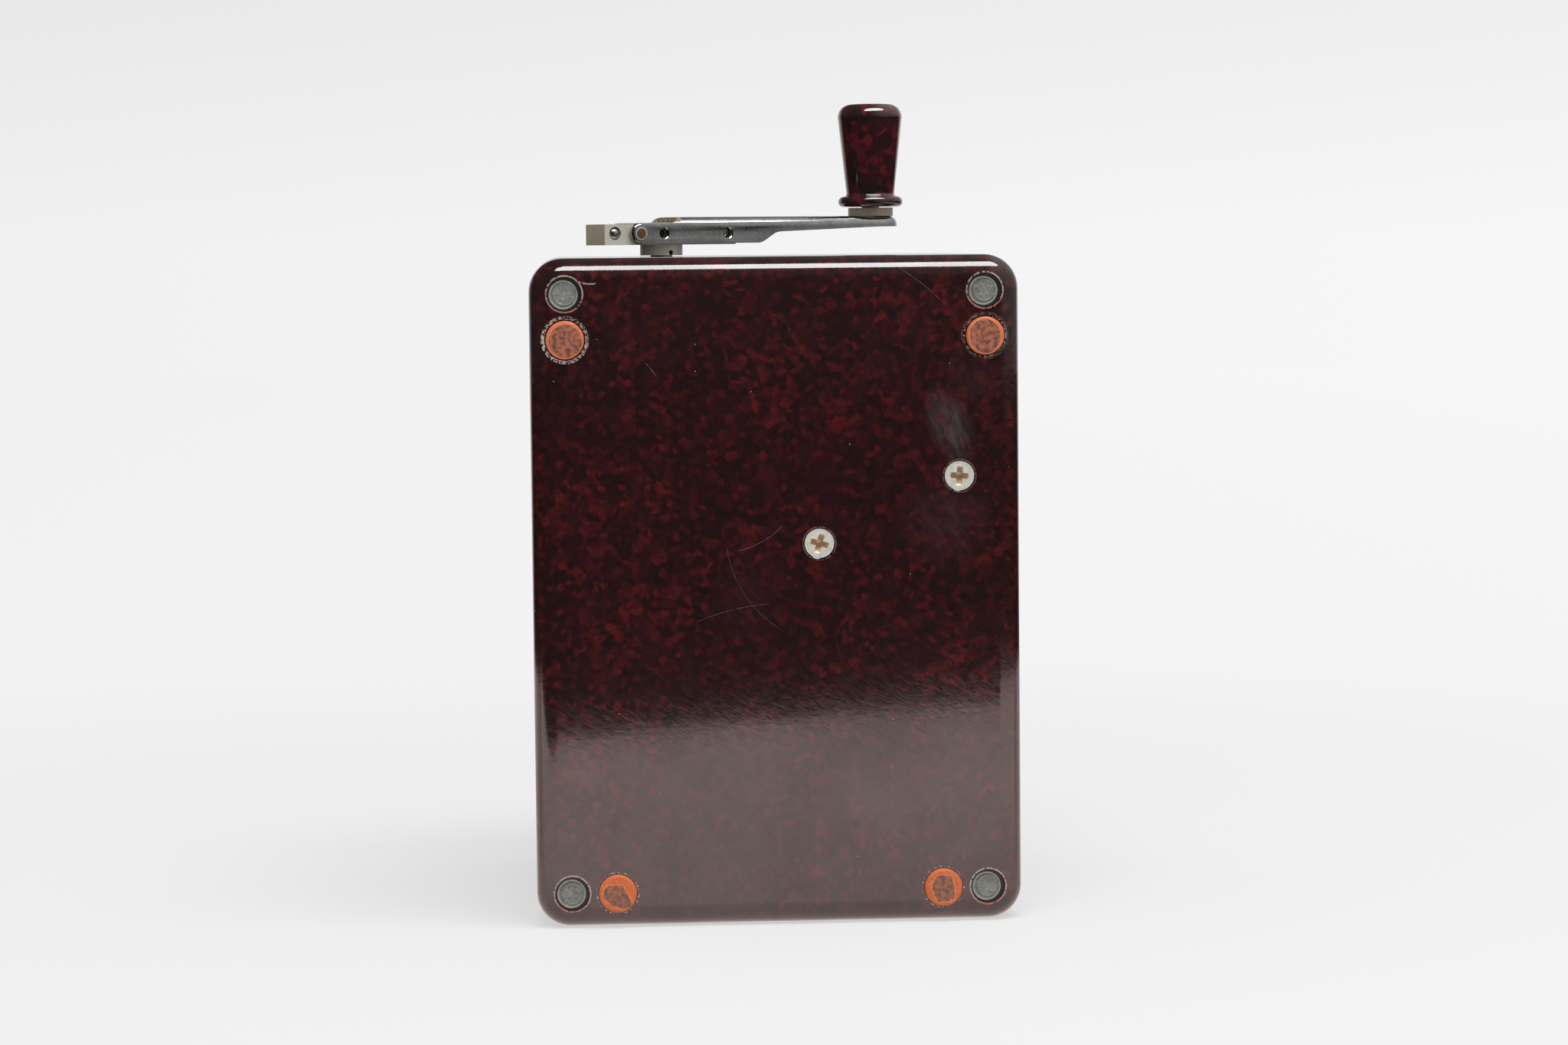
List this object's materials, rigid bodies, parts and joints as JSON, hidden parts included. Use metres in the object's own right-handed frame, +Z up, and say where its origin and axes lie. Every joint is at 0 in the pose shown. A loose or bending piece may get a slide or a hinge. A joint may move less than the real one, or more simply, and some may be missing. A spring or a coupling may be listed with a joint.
{
  "type": "hand cranked insulation tester",
  "caption": "Hand cranked insulation tester: mottled moulded case stood on its end, folding crank with knob on the upper end, rubber feet on the back, meter window and terminals on the front.",
  "frame": {"origin": "centre of the end face that the case stands on", "axes": "+Z up to the crank end, +Y from the back with the feet to the front panel, +X to the right seen from the back"},
  "size_m": [0.124, 0.1277, 0.2115],
  "materials": {
    "phenolic": "gloss",
    "seal": "matte",
    "rubber": "matte",
    "plated_screw": "satin",
    "steel": "satin",
    "dark_steel": "satin",
    "nickel": "polished",
    "bronze": "satin",
    "brass": "satin",
    "laminations": "matte",
    "magnet_alloy": "satin",
    "copper_winding": "satin",
    "dial_enamel": "matte",
    "black_enamel": "matte",
    "glass": "clear",
    "board_laminate": "satin",
    "capacitor_can": "satin",
    "rectifier_case": "matte",
    "resistor_lacquer": "gloss",
    "wire_sleeve": "matte",
    "red_cap": "gloss",
    "black_cap": "gloss"
  },
  "bodies": {
    "case": {"case_tub": "phenolic", "front_panel": "phenolic", "panel_pillars": "steel", "case_screws": "steel", "seal_plugs": "seal", "rubber_feet": "rubber", "frame_screws": "plated_screw", "crank_bush": "bronze", "generator_frame": "steel", "core_screws": "steel", "core_spacers": "brass", "stator_core": "laminations", "stator_coil": "copper_winding", "gear_plate": "brass", "gear_bridge": "brass", "bridge_pillars": "brass", "gear_screws": "steel", "shaft_bushes": "bronze", "meter_frame": "dark_steel", "meter_screws": "steel", "dial_plate": "dial_enamel", "meter_magnet": "magnet_alloy", "pole_pieces": "laminations", "iron_core": "laminations", "meter_bridges": "brass", "movement_screws": "steel", "jewel_screws": "steel", "window_glass": "glass", "glass_frame": "steel", "terminal_posts": "brass", "terminal_nuts": "brass", "board_spacers": "brass", "circuit_board": "board_laminate", "capacitors": "capacitor_can", "rectifiers": "rectifier_case", "resistors": "resistor_lacquer", "hookup_wires": "wire_sleeve"},
    "crank": {"crank_hub": "nickel", "crank_shaft": "steel", "hub_grub_screw": "dark_steel", "detent_balls": "steel", "detent_springs": "steel", "shaft_circlip": "dark_steel", "drive_gear": "brass"},
    "arm": {"crank_arm": "nickel", "pivot_pin": "bronze", "knob_axle": "steel", "axle_bush": "nickel"},
    "knob": {"crank_knob": "phenolic"},
    "layshaft": {"lay_shaft": "steel", "lay_pinion": "steel", "lay_gear": "brass"},
    "rotor": {"rotor_shaft": "steel", "rotor_magnet": "magnet_alloy", "rotor_pinion": "steel"},
    "needle": {"moving_coils": "copper_winding", "spindle": "steel", "pointer": "black_enamel"},
    "line_cap": {"terminal_cap_line": "red_cap"},
    "earth_cap": {"terminal_cap_earth": "black_cap"}
  },
  "joints": [
    {"name": "crank_turn", "type": "hinge", "parent": "case", "child": "crank", "pos_m": [-0.0265, 0.02, 0.17], "axis": [0, 0, -1], "continuous": true},
    {"name": "arm_fold", "type": "hinge", "parent": "crank", "child": "arm", "pos_m": [-0.03526, 0.01573, 0.1762], "axis": [-0.4384, 0.8988, 0], "range_deg": [-180, 0]},
    {"name": "knob_spin", "type": "hinge", "parent": "arm", "child": "knob", "pos_m": [0.03282, 0.04893, 0.197], "axis": [0, 0, 1], "continuous": true},
    {"name": "lay_turn", "type": "hinge", "parent": "case", "child": "layshaft", "pos_m": [-0.01157, -0.00141, 0.137], "axis": [0, 0, -1], "continuous": true},
    {"name": "rotor_turn", "type": "hinge", "parent": "case", "child": "rotor", "pos_m": [0.02, -0.012, 0.093], "axis": [0, 0, -1], "continuous": true},
    {"name": "pointer_swing", "type": "hinge", "parent": "case", "child": "needle", "pos_m": [-0.03, 0.02, 0.095], "axis": [0, 1, 0], "range_deg": [-40, 40]},
    {"name": "line_cap_slide", "type": "slide", "parent": "case", "child": "line_cap", "axis": [0, 1, 0], "range_m": [0, 0.005]},
    {"name": "earth_cap_slide", "type": "slide", "parent": "case", "child": "earth_cap", "axis": [0, 1, 0], "range_m": [0, 0.005]}
  ],
  "couplings": [
    {"joint": "lay_turn", "follows": "crank_turn", "ratio": -3.1429},
    {"joint": "rotor_turn", "follows": "crank_turn", "ratio": 13.469}
  ]
}
